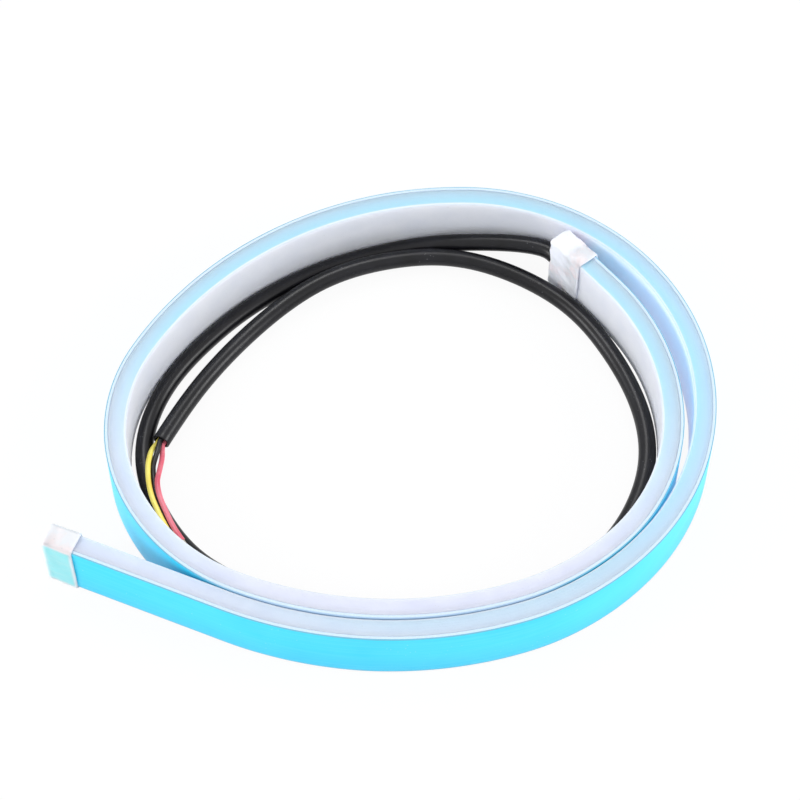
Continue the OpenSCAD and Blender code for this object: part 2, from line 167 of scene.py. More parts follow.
# Each wire's place in the cable, as an angle from its side, and its guides
WIRE_ROUTES = {
    "yellow": (-30, [
        [-52, -4.75, 3.75], [-52.25, -7, 5], [-52.5, -8.75, 5.25], [-52.5, -11, 5.25],
        [-52.25, -13.25, 5.5], [-51.75, -16, 5.75], [-51, -18.5, 5.75], [-50, -20.75, 5.75],
        [-49, -23, 5.75], [-47.75, -25.25, 5.75], [-46.75, -27.5, 5.75], [-45.5, -29.5, 5.75]]),
    "black": (90, [
        [-50.5, -4.75, 4.5], [-51, -7, 4.25], [-51.5, -9.25, 4.5], [-51.25, -11.5, 4.75],
        [-51, -13.5, 4.75], [-50.75, -15.75, 4.75], [-50, -17.75, 4.75], [-49.25, -20, 4.75],
        [-48.25, -22.25, 4.75], [-47, -24.5, 4.75], [-46, -26.75, 4.75], [-44.75, -29, 4.75]]),
    "red": (210, [
        [-49.75, -4.25, 3], [-49.5, -6.75, 3.75], [-49.75, -9.5, 4.75], [-50, -12, 5.5],
        [-50.25, -13.75, 6], [-50, -15.75, 6], [-49.5, -17.75, 6], [-48.75, -19.75, 6],
        [-47.75, -22, 6], [-46.75, -24.25, 6], [-45.5, -26.5, 6], [-44, -28.75, 6]]),
}
# Distance from the cable's middle line to each wire's
BUNDLE_R = 0.7275
# Cut lips: pairs of length beyond the end and share of the radius
CABLE_LIP = [(0.06, 0.985), (0.1, 0.95), (0.1, 0.82), (0.04, 0.77), (-0.3, 0.755), (-1.6, 0.75)]
WIRE_LIP = [(0.03, 0.97), (0.04, 0.9), (0.04, 0.74), (0.0, 0.7), (-0.4, 0.68), (-0.9, 0.68)]


def guided(points, steps):
    """Smooth curve led by points: the uniform cubic B-spline whose first and last guides are
    2 p0 - p1 beyond each end, so that it starts and ends on the outer two points."""
    p = np.vstack([2 * points[0] - points[1], points, 2 * points[-1] - points[-2]])
    t = np.linspace(0, 1, steps, endpoint=False)
    weights = [(1 - t) ** 3, 3 * t**3 - 6 * t**2 + 4, -3 * t**3 + 3 * t**2 + 3 * t + 1, t**3]
    weights = np.stack(weights, 1) / 6
    spans = p[np.arange(len(p) - 3)[:, None] + np.arange(4)]
    return np.vstack([np.einsum("tk,nkc->ntc", weights, spans).reshape(-1, 3), points[-1]])


def frames(path):
    """Direction, side and up of a path: the mean of each point's two steps, its cross product
    with Z, and the cross product of those two."""
    way = np.gradient(path, axis=0)
    way /= np.linalg.norm(way, axis=1)[:, None]
    side = np.cross(way, [0, 0, 1])
    side /= np.linalg.norm(side, axis=1)[:, None]
    return way, side, np.cross(side, way)


def length_along(path):
    """Running length of a path at each of its points: the sum of the steps before it."""
    return np.concatenate([[0], np.cumsum(np.linalg.norm(np.diff(path, axis=0), axis=1))])


def hose(name, path, radius, sides, lip, ripple):
    """Round skin carried along a path: centre + radius (1 + ripple) (cos a side + sin a up). Its
    far end turns in over a cut lip."""
    way, side, up = frames(path)
    s = length_along(path)
    last = len(path) - 1
    extra = np.array(lip)
    centres = np.vstack([path, path[-1] + extra[:, :1] * way[-1]])
    pick = np.concatenate([np.arange(len(path)), np.full(len(extra), last)])
    size = np.concatenate([np.ones(len(path)), extra[:, 1]]) * radius
    a = np.linspace(0, 2 * math.pi, sides, endpoint=False)
    s_all = np.concatenate([s, s[-1] + np.cumsum(np.full(len(extra), 0.1))])
    swell = size[:, None] * (1 + ripple(s_all[:, None], a[None, :]))
    grid = centres[:, None] + swell[..., None] * (
        np.cos(a)[None, :, None] * side[pick][:, None] + np.sin(a)[None, :, None] * up[pick][:, None]
    )
    around = np.linspace(0, 2 * math.pi * radius, sides + 1) * MM
    inside = np.zeros((len(centres), sides))
    inside[len(path) + 2:] = 1
    return surface(name, grid, along=s_all * MM, around=around, marks={"cut_face": inside})


cable_guides = np.vstack([CABLE_EXIT + 0.5 * EXIT_WAY, CABLE_EXIT + 3.5 * EXIT_WAY, CABLE_ROUTE])
cable_path = np.vstack([CABLE_EXIT, guided(cable_guides, 12)])
cable = hose(
    "cable", cable_path, CABLE_R, 32, CABLE_LIP,
    lambda s, a: 0.006 * np.cos(3 * a + 2 * math.pi * s / 46) + 0.004 * slow_wave(s, 3, 30),
)
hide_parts("cable_jacket")

# The wires leave along the last step of the part's own path, which has two points a guide
part_path = np.vstack([CABLE_EXIT, guided(cable_guides, 2)])
cut_way, cut_side, cut_up = [axis[-1] for axis in frames(part_path)]


def from_cut(angle, reach):
    """Point of a wire beside the cable's middle line, reach beyond the cable's cut end."""
    a = math.radians(angle)
    return cable_path[-1] + reach * cut_way + BUNDLE_R * (math.cos(a) * cut_side + math.sin(a) * cut_up)


def strands(name, start, way):
    """Seven twisted strands as one skin along a straight line: radius
    R (0.86 + 0.14 |cos 3.5 (a - 1.5 s)|), drawn in over the last millimetre."""
    s = np.linspace(-0.8, 4, 40)
    path = start + s[:, None] * way
    side = np.cross(way, [0, 0, 1])
    side /= np.linalg.norm(side)
    up = np.cross(side, way)
    a = np.linspace(0, 2 * math.pi, 42, endpoint=False)
    lobes = 0.86 + 0.14 * np.abs(np.cos(3.5 * (a[None, :] - 1.5 * s[:, None])))
    taper = 1 - 0.12 * np.clip((s - 3) / 1, 0, 1) ** 2 - 0.5 * np.clip((s - 3.8) / 0.2, 0, 1) ** 3
    grid = path[:, None] + (STRAND_R * taper[:, None] * lobes)[..., None] * (
        np.cos(a)[None, :, None] * side + np.sin(a)[None, :, None] * up
    )
    return surface(name, grid, along=s * MM, around=np.linspace(0, 2 * math.pi * STRAND_R, 43) * MM)


wires, tips = {}, {}
for colour, (angle, route) in WIRE_ROUTES.items():
    guides = np.vstack([from_cut(angle, 0.5), route])
    inside_cable = [from_cut(angle, reach) for reach in (-1.4, -0.7, 0)]
    path = np.vstack([inside_cable, guided(guides, 8)])
    coarse = guided(guides, 1)
    end_way = (coarse[-1] - coarse[-2]) / np.linalg.norm(coarse[-1] - coarse[-2])
    tips[colour] = strands("strands_" + colour, path[-1], end_way)
    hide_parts("tip_" + colour)
    wires[colour] = hose("wire_skin_" + colour, path, WIRE_R, 20, WIRE_LIP,
                         lambda s, a: 0.008 * slow_wave(s, 11, 14))
    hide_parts("wire_" + colour)

# Strip: its runs as radius and turn of each left-hand arc, or 0 and a straight length
RUNS = [
    (0, 41), (93.5, 39.333), (63, 30.5), (53, 131), (82, 62), (37.897, 52.062), (44.569, 45.105),
    (88.5, 39.333), (58, 26), (42.522, 47.39), (51.117, 40.11), (2000, 0.344),
]
STRIP_START = (-71.7746, -32.6805, -22.333)
# Tube: its faces from the middle line outward, height of its middle, half its height and the
# radius of its corners, and half sizes of the channel
TUBE_IN, TUBE_OUT, MID_Z, HALF_H, TUBE_CORNER = -2.4, 1.6, 8.5, 8.0, 0.55
CHANNEL_HALF = (0.8, 5.7)
TUBE_STEPS = (6, 14, 12)
# Tape and film: half thickness and half height, and place outward of the middle line. They are
# drawn a little wider than the solids. FILM_SPAN is the height over which the film's tone runs.
TAPE_HALF, TAPE_OUT = (0.3, 7.95), 1.9
FILM_HALF, FILM_OUT = (0.1, 7.86), 2.3
FILM_SPAN = 15.4
# Lengths along the strip over which its looks change: the film's blue behind the milky wall is its own
# # colour, but its strength is painted light: it grows along the front and the right side, fades along
# the
# # left side, and comes again where the inner turn goes up the right side
BLUE_GROWS, BLUE_FULL, BLUE_FADES, BLUE_GONE = (25, 90), (90, 190), (330, 390), (390, 430)
BLUE_AGAIN = (490, 560)
# Lengths where a painted glow stands for light through the wall that the other turn shades, and where
# painted light from the turn next to the film pales the film
PAINTED_GLOW_FROM, PAINTED_GLOW_TO = (120, 165), (205, 245)
PALE_FROM, PALE_TO = (406, 426), (478, 500)


def run_table():
    """Start of each run as [length, x, y, heading, radius]: a straight run goes on along its
    heading, and an arc goes round a centre that lies its radius to the left."""
    x, y, heading = STRIP_START
    table, s = [], 0.0
    for r, amount in RUNS:
        table.append([s, x, y, math.radians(heading), r])
        h = math.radians(heading)
        if r == 0:
            x, y, s = x + amount * math.cos(h), y + amount * math.sin(h), s + amount
        else:
            g = math.radians(heading + amount)
            x, y = x - r * math.sin(h) + r * math.sin(g), y + r * math.cos(h) - r * math.cos(g)
            heading, s = heading + amount, s + r * math.radians(amount)
    return np.array(table), s


RUN_STARTS, STRIP_LEN = run_table()


def lay(s):
    """Place and heading at lengths s along the strip's middle line: the run's start, plus its
    radius times the change of (sin, -cos) of the heading, or plus its straight length."""
    s = np.asarray(s, float)
    run = RUN_STARTS[np.clip(np.searchsorted(RUN_STARTS[:, 0], s, "right") - 1, 0, None)]
    ds, x, y, h, r = s - run[..., 0], run[..., 1], run[..., 2], run[..., 3], run[..., 4]
    round_r = np.where(r == 0, 1, r)
    g = h + np.where(r == 0, 0, ds / round_r)
    bow_x, bow_y = round_r * (np.sin(g) - np.sin(h)), round_r * (np.cos(h) - np.cos(g))
    dx, dy = np.where(r == 0, ds * np.cos(h), bow_x), np.where(r == 0, ds * np.sin(h), bow_y)
    return x + dx, y + dy, g


def carried(s, x, z):
    """Points of a section [outward x, height z] at lengths s: middle line + x outward."""
    px, py, g = lay(s)
    return np.stack([px + x * np.sin(g), py - x * np.cos(g), z + 0 * px], -1)


def band(name, section, bumps, marks=None):
    """Section carried along the whole strip, a row every 1.2, and closed at both ends. bumps
    moves its points a little."""
    s = np.linspace(0, STRIP_LEN, int(STRIP_LEN / 1.2) + 2)
    x, z = section[None, :, 0] + 0 * s[:, None], section[None, :, 1] + 0 * s[:, None]
    x, z = bumps(s[:, None], x, z)
    grid = carried(s[:, None] + 0 * x, x, z)
    extra = {k: f(s[:, None] + 0 * x, x, z) for k, f in (marks or {}).items()}
    return surface(name, grid, along=s * MM, around=perimeter(section), marks=extra)


def soft_edge(x, low, high):
    """0 below low, 1 above high, and 3 t^2 - 2 t^3 between them."""
    t = np.clip((x - low) / (high - low), 0, 1)
    return t * t * (3 - 2 * t)


def tube_section():
    """Outer and inner ring of the milky tube, with the same number of points. The two narrow
    sides dip by 0.14 between their rims, as 1 - u^6 with u from -1 to 1 across them. The two
    corners on the tape's side are sharper: each share c of their radius becomes c^0.4."""
    middle, half = (TUBE_IN + TUBE_OUT) / 2, (TUBE_OUT - TUBE_IN) / 2
    outer = ring(half, HALF_H, TUBE_CORNER, *TUBE_STEPS)
    middle_of_corner = np.array([half - TUBE_CORNER, HALF_H - TUBE_CORNER])
    back = (outer[:, 0] > middle_of_corner[0]) & (np.abs(outer[:, 1]) > middle_of_corner[1])
    share = np.clip((np.abs(outer[back]) - middle_of_corner) / TUBE_CORNER, 0, 1)
    outer[back] = np.sign(outer[back]) * (middle_of_corner + TUBE_CORNER * share**0.4)
    dip, dip_half = 0.14, 1.6
    u = np.clip(outer[:, 0] / dip_half, -1, 1)
    narrow = soft_edge(np.abs(outer[:, 1]), HALF_H - 0.3, HALF_H - 0.02)
    outer[:, 1] -= np.sign(outer[:, 1]) * dip * (1 - u**6) * narrow
    inner = ring(*CHANNEL_HALF, 0.1, *TUBE_STEPS)
    outer += [middle, MID_Z]
    inner += [0, MID_Z]
    return outer, inner


def make_tube():
    """The outer ring runs out along the strip and the inner one comes back, as one closed skin.
    Marks: across runs from 0 on the inner face to 1 on the tape's, one mark holds the film's blue behind
    the milky wall, whose strength along the strip is painted light, and one a painted glow for light
    through the wall."""
    outer, inner = tube_section()
    s = np.linspace(0, STRIP_LEN, 480)
    wave = 0.03 * slow_wave(s, 5, 90)[:, None]
    out = np.stack([s[:, None] + 0 * outer[:, 0], outer[:, 0] + wave, outer[:, 1] + 0 * wave])
    back = np.stack([s[::-1, None] + 0 * inner[:, 0], inner[:, 0] + 0 * wave, inner[:, 1] + 0 * wave])
    length, x, z = np.concatenate([out, back], 1)
    grid = carried(length, x, z)
    across = (x - TUBE_IN) / (TUBE_OUT - TUBE_IN)
    # the film's blue behind the wall, with a strength along the strip that is painted light
    blue = 0.15 + 0.35 * soft_edge(length, *BLUE_GROWS) + 0.5 * soft_edge(length, *BLUE_FULL)
    blue *= 1 - 0.75 * soft_edge(length, *BLUE_FADES)
    blue *= 1 - soft_edge(length, *BLUE_GONE)
    blue = np.maximum(blue, 0.95 * soft_edge(length, *BLUE_AGAIN))
    # painted glow: where the other turn shades the wall, light through it is painted on
    lit = soft_edge(length, *PAINTED_GLOW_FROM) * (1 - soft_edge(length, *PAINTED_GLOW_TO))
    rows = np.concatenate([s, s[::-1]]) * MM
    return surface("tube_skin", grid, loop=True, along=rows, around=perimeter(outer),
                   marks={"across": across, "film_blue_and_painted_light": blue, "painted_through_glow": lit})


tube = make_tube()
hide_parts("light_tube")

tape = band("tape_foam", ring(*TAPE_HALF, 0.08, 3, 3, 8) + [TAPE_OUT, MID_Z],
            lambda s, x, z: (x, z + 0.02 * slow_wave(s, 8, 25) * np.sign(z - MID_Z)))
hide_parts("foam_tape")

film = band(
    "film_skin", ring(*FILM_HALF, 0.08, 3, 3, 12) + [FILM_OUT, MID_Z],
    lambda s, x, z: (x + 0.012 * slow_wave(s + 3 * (z - MID_Z), 9, 40),
                     z + 0.05 * slow_wave(s, 10, 60) * np.sign(z - MID_Z)),
    marks={"height": lambda s, x, z: (z - MID_Z) / FILM_SPAN + 0.5,
           # painted light: where the milky turn next to the film pales it
           "painted_gap_light": lambda s, x, z: soft_edge(s, *PALE_FROM) * (1 - soft_edge(s, *PALE_TO))},
)
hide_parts("release_film")

# End caps: half thickness, half height and corner outside, half sizes of the pocket and of its
# lip, grip on the strip and length of each, and the lead cap's chamber and cable hole
CAP_HALF_T, CAP_HALF_H, CAP_CORNER = 2.9, 8.5, 0.95
CAP_STEPS = (8, 12, 30)
POCKET_HALF, LIP_HALF = (2.45, 8.05), (2.415, 8.01)
BLIND_GRIP, BLIND_LEN, LEAD_GRIP, LEAD_LEN = 6.5, 8.0, 4.0, 10.0
CHAMBER_HALF, CHAMBER_END, HOLE_R, HOLE_Z = (1.7, 3.0), 7.5, 1.95, 7.0


def cap_place(mouth_s, way):
    """Origin and axes of a cap at its mouth: to the right, and along the cap, which points
    forward along the strip where way is 1 and backward where it is -1."""
    x, y, g = [float(v) for v in lay(mouth_s)]
    g += 0 if way > 0 else math.pi
    along = np.array([math.cos(g), math.sin(g), 0])
    return np.array([x, y, 0]), np.array([along[1], -along[0], 0]), along


def cap_rows(rows):
    """Rings of a cap, each given as (y, half_x, half_z, corner, centre_z, share), where share
    shrinks the ring to its middle; ring points are [x, z] and all rings match."""
    grid = []
    for y, half_x, half_z, corner, centre_z, share in rows:
        section = ring(half_x, half_z, corner, *CAP_STEPS) * share
        grid.append(np.stack([section[:, 0], np.full(len(section), y), section[:, 1] + centre_z], 1))
    return np.stack(grid)


def outer_rows(length, edge_mouth, edge_end, taper):
    """Outside of a cap from mouth to end: insets e (1 - cos t) over the rounded edges, and
    sides that draw in by taper towards the end."""
    insets = []
    for t in np.linspace(math.radians(75), 0, 6):
        inset = edge_mouth * (1 - math.cos(t))
        insets.append((edge_mouth * (1 - math.sin(t)), inset, CAP_CORNER - 0.05 - inset / 2))
    for y in np.linspace(edge_mouth, length - edge_end, 22)[1:-1]:
        draw = taper * ((y - edge_mouth) / (length - edge_end - edge_mouth)) ** 2
        insets.append((y, draw, CAP_CORNER))
    for t in np.linspace(0, math.pi / 2, 8):
        inset = taper + edge_end * (1 - math.cos(t))
        insets.append((length - edge_end * (1 - math.sin(t)), inset, max(CAP_CORNER - 0.3 * inset, 0.4)))
    return [(y, CAP_HALF_T - inset, CAP_HALF_H - inset, corner, MID_Z, 1) for y, inset, corner in insets]


def lumps(grid, seed, depth):
    """Moves a cap's points outwards from its middle line by depth times a sum of slow sines."""
    draw = np.random.default_rng(seed)
    out = np.zeros(grid.shape[:2])
    for weight, wave in ((1.0, 7.0), (0.6, 3.6), (0.3, 1.9)):
        turn, phase = draw.normal(size=3), draw.uniform(0, 2 * math.pi, 2)
        turn /= np.linalg.norm(turn)
        other = np.cross(turn, draw.normal(size=3))
        other /= np.linalg.norm(other)
        out += weight * np.sin(grid @ turn * 2 * math.pi / wave + phase[0]) * np.cos(
            grid @ other * 2 * math.pi / wave + phase[1])
    away = grid - [0, 5, MID_Z]
    away[..., 2] *= 0.25
    away[..., 1] *= 0.5
    away /= np.linalg.norm(away, axis=-1, keepdims=True) + 1e-9
    return grid + depth * out[..., None] * away


def glow(grid, side, from_y, to_y):
    """Where the blue film shows through the cap: 1 over the film's height on one side, soft at
    its edges."""
    x, y, z = grid[..., 0] * side, grid[..., 1], grid[..., 2]
    beside = soft_edge(x, 1.7, 2.6)
    along = soft_edge(y, from_y, from_y + 0.8) * (1 - soft_edge(y, to_y - 1.6, to_y))
    return beside * along * soft_edge(z, 0.7, 2.0) * (1 - soft_edge(z, 15.7, 16.5))


def set_cap(name, inner, outer, place, loop, shows):
    """Joins a cap's inside and outside and carries its own [x, y, z] to its place on the strip.
    Marks: film_glow over the part that shows gives, and inside on the inner points."""
    grid = np.concatenate([inner, outer])
    origin, right, along = place
    world = origin + grid[..., :1] * right + grid[..., 1:2] * along + grid[..., 2:] * np.array([0, 0, 1])
    run = np.linalg.norm(np.diff(grid.mean(1), axis=0), axis=1)
    depth = np.concatenate([np.ones(inner.shape[:2]), np.zeros(outer.shape[:2])])
    return surface(name, world, loop=loop, along=np.concatenate([[0], np.cumsum(run + 0.05)]) * MM,
                   around=perimeter(ring(CAP_HALF_T, CAP_HALF_H, CAP_CORNER - 0.05, *CAP_STEPS)),
                   marks={"film_glow": glow(grid, *shows), "inside": depth})


def make_blind_cap():
    """Pocket from its closed bottom out to the mouth, then the outside back to the end."""
    pocket = [(BLIND_GRIP + 0.05, *POCKET_HALF, 0.1, MID_Z, share) for share in (0.3, 0.7, 1)]
    pocket += [(y, *POCKET_HALF, 0.1, MID_Z, 1) for y in np.linspace(BLIND_GRIP - 0.5, 0.6, 6)]
    pocket += [(0.15, *LIP_HALF, 0.1, MID_Z, 1)]
    outside = outer_rows(BLIND_LEN, 0.3, 1.5, 0.1)
    half_x, half_z = outside[-1][1:3]
    face = [(BLIND_LEN + 0.06 * (1 - k * k), half_x, half_z, 0.4, MID_Z, k) for k in (0.85, 0.6, 0.3)]
    outer = lumps(cap_rows(outside + face), 21, 0.09)
    return set_cap("blind_cap", cap_rows(pocket), outer, cap_place(BLIND_GRIP, -1), False, (-1, 0.2, 7.5))


def make_lead_cap():
    """Pocket, chamber and cable hole from the mouth through, then the outside back to the mouth."""
    rows = [(0.15, *LIP_HALF, 0.1, MID_Z, 1)]
    rows += [(y, *POCKET_HALF, 0.1, MID_Z, 1) for y in np.linspace(0.6, LEAD_GRIP + 0.05, 5)]
    rows += [(y, *CHAMBER_HALF, 0.1, HOLE_Z, 1) for y in (LEAD_GRIP + 0.06, CHAMBER_END)]
    rows += [(y, HOLE_R, HOLE_R, HOLE_R - 0.01, HOLE_Z, 1) for y in (CHAMBER_END + 0.01, 8.7, 9.85)]
    rounded = outer_rows(LEAD_LEN, 0.3, 1.15, 0.05)[::-1]
    rim = HOLE_R + 0.02
    hole = cap_rows([(9.9, rim, rim, rim - 0.01, HOLE_Z, 1)])[0]
    edge = cap_rows(rounded[:1])[0]
    t = np.linspace(0, 1, 7)[:-1, None, None]
    face = hole + (edge - hole) * t
    face[..., 1] = LEAD_LEN - 0.1 * (1 - t[..., 0]) ** 2
    outer = lumps(np.concatenate([face, cap_rows(rounded)]), 34, 0.19)
    outer[0] = hole
    place = cap_place(STRIP_LEN - LEAD_GRIP, 1)
    return set_cap("lead_cap", cap_rows(rows), outer, place, True, (1, 0.3, 4.6))


blind_cap = make_blind_cap()
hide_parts("blind_end_cap")
lead_cap = make_lead_cap()
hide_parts("lead_end_cap")


# Shader groups
def paint(r, g, b):
    """Colour of a screen value 0 to 255, as linear light."""
    level = [c / 255 for c in (r, g, b)]
    return tuple(c / 12.92 if c <= 0.04045 else ((c + 0.055) / 1.055) ** 2.4 for c in level) + (1.0,)


def put(tree, kind, sockets=None, **settings):
    """Adds a node, sets it up and joins or fills its inputs."""
    node = tree.nodes.new("ShaderNode" + kind)
    for key, value in settings.items():
        setattr(node, key, value)
    for key, value in (sockets or {}).items():
        socket = node.inputs[key]
        if isinstance(value, bpy.types.NodeSocket):
            tree.links.new(value, socket)
        else:
            socket.default_value = value
    return node


def blend(tree, share, a, b):
    """Colour a turned towards b by share: a (1 - share) + b share."""
    return put(tree, "Mix", {0: share, 6: a, 7: b}, data_type="RGBA").outputs[2]


def sum_of(tree, how, a, b):
    """Two values joined by the operation how."""
    return put(tree, "Math", {0: a, 1: b}, operation=how).outputs[0]


def spread(tree, value, low, high, to_low=0.0, to_high=1.0):
    """to_low + (to_high - to_low) (value - low) / (high - low), held at both ends."""
    ends = {"From Min": low, "From Max": high, "To Min": to_low, "To Max": to_high}
    return put(tree, "MapRange", {"Value": value, **ends}).outputs["Result"]


def group(name, inputs, outputs, build):
    """Shader group with named sockets, wired by build(tree, start, end)."""
    tree = bpy.data.node_groups.new(name, "ShaderNodeTree")
    for label, kind, value in inputs:
        socket = tree.interface.new_socket(label, in_out="INPUT", socket_type="NodeSocket" + kind)
        if value is not None:
            socket.default_value = value
    for label, kind in outputs:
        tree.interface.new_socket(label, in_out="OUTPUT", socket_type="NodeSocket" + kind)
    start, end = tree.nodes.new("NodeGroupInput"), tree.nodes.new("NodeGroupOutput")
    build(tree, start.outputs, end.inputs)
    return tree


def wire_grain(tree, given, out):
    """Fine skin: small noise for height, wide noise for tone."""
    fine = put(tree, "TexNoise", {"Vector": given["Vector"], "Scale": given["Scale"], "Detail": 4.0,
                                  "Roughness": 0.6})
    wide_scale = sum_of(tree, "MULTIPLY", given["Scale"], 0.07)
    wide = put(tree, "TexNoise", {"Vector": given["Vector"], "Scale": wide_scale, "Detail": 3.0})
    tree.links.new(spread(tree, fine.outputs["Fac"], 0.3, 0.7), out["Height"])
    tree.links.new(spread(tree, wide.outputs["Fac"], 0.35, 0.65), out["Tone"])


def wire_drawn_lines(tree, given, out):
    """Lines left along a drawn or rolled surface: noise stretched along U of the UV map."""
    stretched = put(tree, "Mapping", {"Vector": given["UV"], "Scale": (12.0, 900.0, 1.0)})
    lines = put(tree, "TexNoise", {"Vector": stretched.outputs[0], "Scale": given["Scale"],
                                   "Detail": 3.0})
    tree.links.new(spread(tree, lines.outputs["Fac"], 0.3, 0.7), out["Lines"])


def wire_dust(tree, given, out):
    """Specks of dust: the cores of small Voronoi cells, kept where a wide noise is high."""
    cells = put(tree, "TexVoronoi", {"Vector": given["Vector"], "Scale": given["Scale"],
                                     "Randomness": 1.0})
    core = spread(tree, cells.outputs["Distance"], 0.16, 0.08)
    where = put(tree, "TexNoise", {"Vector": given["Vector"], "Scale": 160.0, "Detail": 2.0})
    kept = spread(tree, where.outputs["Fac"], 0.55, 0.62)
    specks = sum_of(tree, "MULTIPLY", core, kept)
    tree.links.new(sum_of(tree, "MULTIPLY", specks, given["Amount"]), out["Specks"])


GRAIN = group("fine_grain", [("Vector", "Vector", None), ("Scale", "Float", 2500.0)],
              [("Height", "Float"), ("Tone", "Float")], wire_grain)
LINES = group("drawn_lines", [("UV", "Vector", None), ("Scale", "Float", 4.0)],
              [("Lines", "Float")], wire_drawn_lines)
DUST = group("dust_specks",
             [("Vector", "Vector", None), ("Scale", "Float", 900.0), ("Amount", "Float", 0.5)],
             [("Specks", "Float")], wire_dust)


# Materials
def finish(name, wire, **plain):
    """Material with one Principled surface: plain holds its constant sockets, and
    wire(tree, place, uv, surface) adds the pattern."""
    material = bpy.data.materials.new(name)
    material.use_nodes = True
    tree = material.node_tree
    shader = tree.nodes["Principled BSDF"]
    for key, value in plain.items():
        shader.inputs[key.replace("_", " ")].default_value = value
    where = put(tree, "TexCoord")
    wire(tree, where.outputs["Object"], where.outputs["UV"], shader.inputs)
    return material


def use(tree, grouped, **sockets):
    """Outputs of a shader group set down in a material."""
    return put(tree, "Group", sockets, node_tree=grouped).outputs


def mark(tree, name):
    """Number that the mesh carries at its points under this name."""
    return put(tree, "Attribute", attribute_name=name, attribute_type="GEOMETRY").outputs["Fac"]


def raise_by(tree, height, depth, onto):
    """Tilts the surface as a relief of depth times height would, depth in metres."""
    bump = put(tree, "Bump", {"Height": height, "Strength": 1.0, "Distance": depth})
    tree.links.new(bump.outputs[0], onto["Normal"])


def milky(tree, place, uv, onto):
    """Milky silicone: lavender white, a darker lavender on the narrow faces, bluer where the film shows
    through with a strength along the strip that is painted light, paler rims as a painted highlight on
    the rounded edges, and a painted glow, with emission, where the other turn shades the wall.
    """
    grain = use(tree, GRAIN, Vector=place, Scale=1800.0)
    lines = use(tree, LINES, UV=uv, Scale=3.0)
    dust = use(tree, DUST, Vector=place, Scale=1100.0, Amount=0.35)
    across = mark(tree, "across")
    height = put(tree, "SeparateXYZ", {0: place}).outputs["Z"]
    top = spread(tree, height, 0.0158, 0.0162)
    low = spread(tree, height, 0.0012, 0.0008)
    narrow = sum_of(tree, "MAXIMUM", top, low)
    body = blend(tree, grain["Tone"], paint(229, 234, 251), paint(236, 240, 255))
    edge = blend(tree, grain["Tone"], paint(208, 212, 236), paint(214, 218, 240))
    far_from_film = sum_of(tree, "MULTIPLY", spread(tree, across, 0.85, 0.25), 0.7)
    tint = blend(tree, far_from_film, paint(178, 209, 235), paint(162, 214, 237))
    # partly painted light: the film's blue is real, its strength along the strip stands for light through
    # the wall
    edge = blend(tree, mark(tree, "film_blue_and_painted_light"), edge, tint)
    # painted highlight: paler rims along the rounded edges of the narrow faces
    outer_rim_highlight = sum_of(tree, "MULTIPLY", spread(tree, across, 0.9, 0.96), 0.2)
    rim = sum_of(tree, "MAXIMUM", spread(tree, across, 0.13, 0.07), outer_rim_highlight)
    edge = blend(tree, rim, edge, paint(214, 225, 240))
    # painted glow: a paler body where the other turn shades the wall, standing for light through it
    painted_glow_mask = mark(tree, "painted_through_glow")
    body = blend(tree, painted_glow_mask, body, paint(230, 238, 252))
    colour = blend(tree, narrow, body, edge)
    colour = blend(tree, dust["Specks"], colour, paint(190, 192, 200))
    tree.links.new(colour, onto["Base Color"])
    # painted glow: emission on the walls there, not on the narrow faces
    through = sum_of(tree, "MULTIPLY", painted_glow_mask, sum_of(tree, "SUBTRACT", 1.0, narrow))
    tree.links.new(blend(tree, through, (0, 0, 0, 1), paint(203, 184, 202)), onto["Emission Color"])
    tree.links.new(spread(tree, grain["Height"], 0, 1, 0.42, 0.56), onto["Roughness"])
    raise_by(tree, sum_of(tree, "ADD", grain["Height"], lines["Lines"]), 0.00002, onto)


def blue_film(tree, place, uv, onto):
    """Release film: clear light blue with faint rolling lines and shallow cockles, painted shade darker
    towards its bottom and as a grey-blue line along its edges, and painted light that pales it where the
    milky turn next to it fills the narrow gap."""
    lines = use(tree, LINES, UV=uv, Scale=2.0)
    grain = use(tree, GRAIN, Vector=place, Scale=700.0)
    dust = use(tree, DUST, Vector=place, Scale=800.0, Amount=0.3)
    height = mark(tree, "height")
    deep = blend(tree, grain["Tone"], paint(38, 214, 247), paint(56, 222, 252))
    # painted shade: darker, greyer blue towards the bottom of the film
    colour = blend(tree, spread(tree, height, 0.55, 0.0, 0.0, 0.55), deep, paint(62, 200, 245))
    colour = blend(tree, spread(tree, lines["Lines"], 0.2, 0.9, 0.0, 0.12), colour, paint(150, 240, 255))
    # painted shade: a grey-blue line along the film's top and bottom edges
    rim = sum_of(tree, "MAXIMUM", spread(tree, height, 0.985, 0.997), spread(tree, height, 0.015, 0.003))
    colour = blend(tree, rim, colour, paint(112, 186, 212))
    # painted light: paler where the milky turn next to the film fills the narrow gap
    colour = blend(tree, mark(tree, "painted_gap_light"), colour, paint(172, 200, 226))
    colour = blend(tree, dust["Specks"], colour, paint(205, 240, 250))
    tree.links.new(colour, onto["Base Color"])
    tree.links.new(spread(tree, lines["Lines"], 0, 1, 0.3, 0.42), onto["Roughness"])
    cockles = sum_of(tree, "ADD", grain["Tone"], sum_of(tree, "MULTIPLY", lines["Lines"], 0.15))
    raise_by(tree, cockles, 0.00006, onto)


